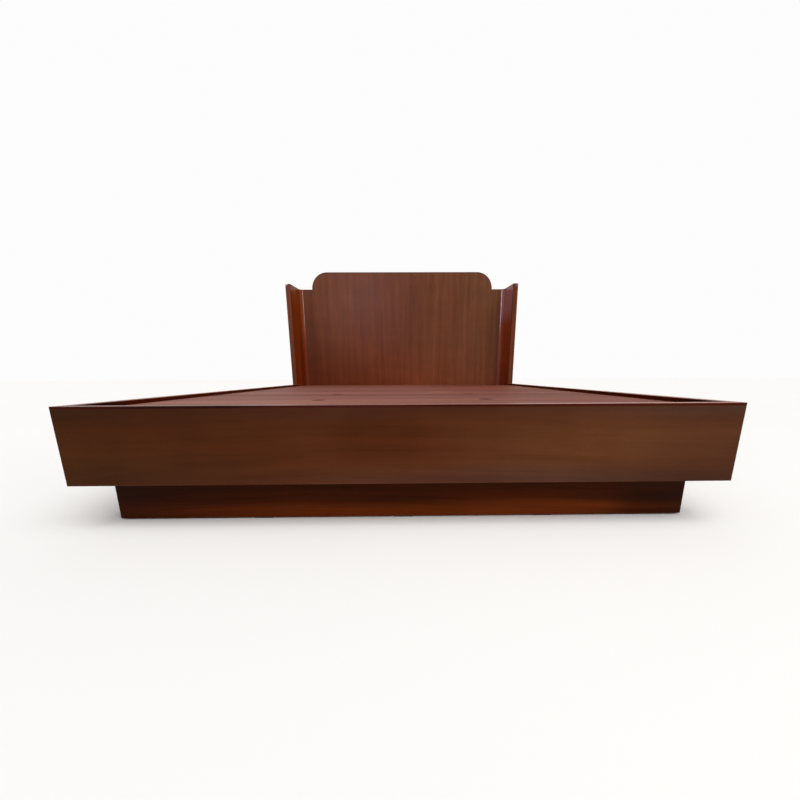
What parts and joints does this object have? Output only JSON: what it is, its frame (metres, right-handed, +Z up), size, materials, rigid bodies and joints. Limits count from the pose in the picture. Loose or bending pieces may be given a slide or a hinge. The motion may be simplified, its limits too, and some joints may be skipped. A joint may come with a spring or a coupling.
{
  "type": "platform bed",
  "caption": "Double platform bed on a recessed plinth, with a lift-out deck and a round-cornered headboard whose wings curve forward.",
  "frame": {"origin": "on the floor, at the middle of the bed's outline", "axes": "+Z up, +Y from the foot rail to the headboard, +X to the right for someone who looks at the bed from its foot"},
  "size_m": [1.596, 2.1, 1.085],
  "materials": {
    "rail_veneer": "gloss lacquer over reddish brown veneer, grain along the rail",
    "plinth_veneer": "gloss lacquer over reddish brown veneer, grain along the board",
    "headboard_veneer": "gloss lacquer over reddish brown veneer, grain upright",
    "solid_lipping": "satin lacquered solid wood",
    "deck_board": "matt stained plywood",
    "frame_timber": "planed softwood, bare",
    "fitting_steel": "zinc plated steel",
    "glide_plastic": "brown plastic"
  },
  "bodies": {
    "bed": {"bearer_bracket_screws": "fitting_steel", "bearer_brackets": "fitting_steel", "bearer_foot": "frame_timber", "bearer_head": "frame_timber", "bearer_middle": "frame_timber", "corner_block_left": "frame_timber", "corner_block_right": "frame_timber", "foot_ledger": "frame_timber", "foot_rail": "rail_veneer", "foot_rail_lipping": "solid_lipping", "head_rail": "frame_timber", "headboard_bolts": "fitting_steel", "headboard_cap": "solid_lipping", "headboard_inserts": "fitting_steel", "headboard_panel": "headboard_veneer", "hook_plate_left": "fitting_steel", "hook_plate_right": "fitting_steel", "ledger_screws": "fitting_steel", "plinth_bracket_screws": "fitting_steel", "plinth_brackets": "fitting_steel", "plinth_cross_rail_foot": "frame_timber", "plinth_cross_rail_head": "frame_timber", "plinth_front": "plinth_veneer", "plinth_glides": "glide_plastic", "plinth_glue_blocks": "frame_timber", "plinth_rear": "plinth_veneer", "plinth_side_left": "plinth_veneer", "plinth_side_right": "plinth_veneer", "side_ledger_left": "frame_timber", "side_ledger_right": "frame_timber", "side_rail_left": "rail_veneer", "side_rail_lipping_left": "solid_lipping", "side_rail_lipping_right": "solid_lipping", "side_rail_right": "rail_veneer", "slot_plate_left": "fitting_steel", "slot_plate_right": "fitting_steel", "spine": "frame_timber", "wing_cap_left": "solid_lipping", "wing_cap_right": "solid_lipping", "wing_left": "headboard_veneer", "wing_nosing_left": "solid_lipping", "wing_nosing_right": "solid_lipping", "wing_right": "headboard_veneer", "wing_tongue_left": "frame_timber", "wing_tongue_right": "frame_timber"},
    "deck_foot": {"deck_panel_foot": "deck_board"},
    "deck_head": {"deck_panel_head": "deck_board"}
  },
  "joints": [
    {"name": "deck_foot_lift", "type": "slide", "parent": "bed", "child": "deck_foot", "axis": [0, 0, 1], "range_m": [0, 0.15]},
    {"name": "deck_head_lift", "type": "slide", "parent": "bed", "child": "deck_head", "axis": [0, 0, 1], "range_m": [0, 0.15]}
  ]
}
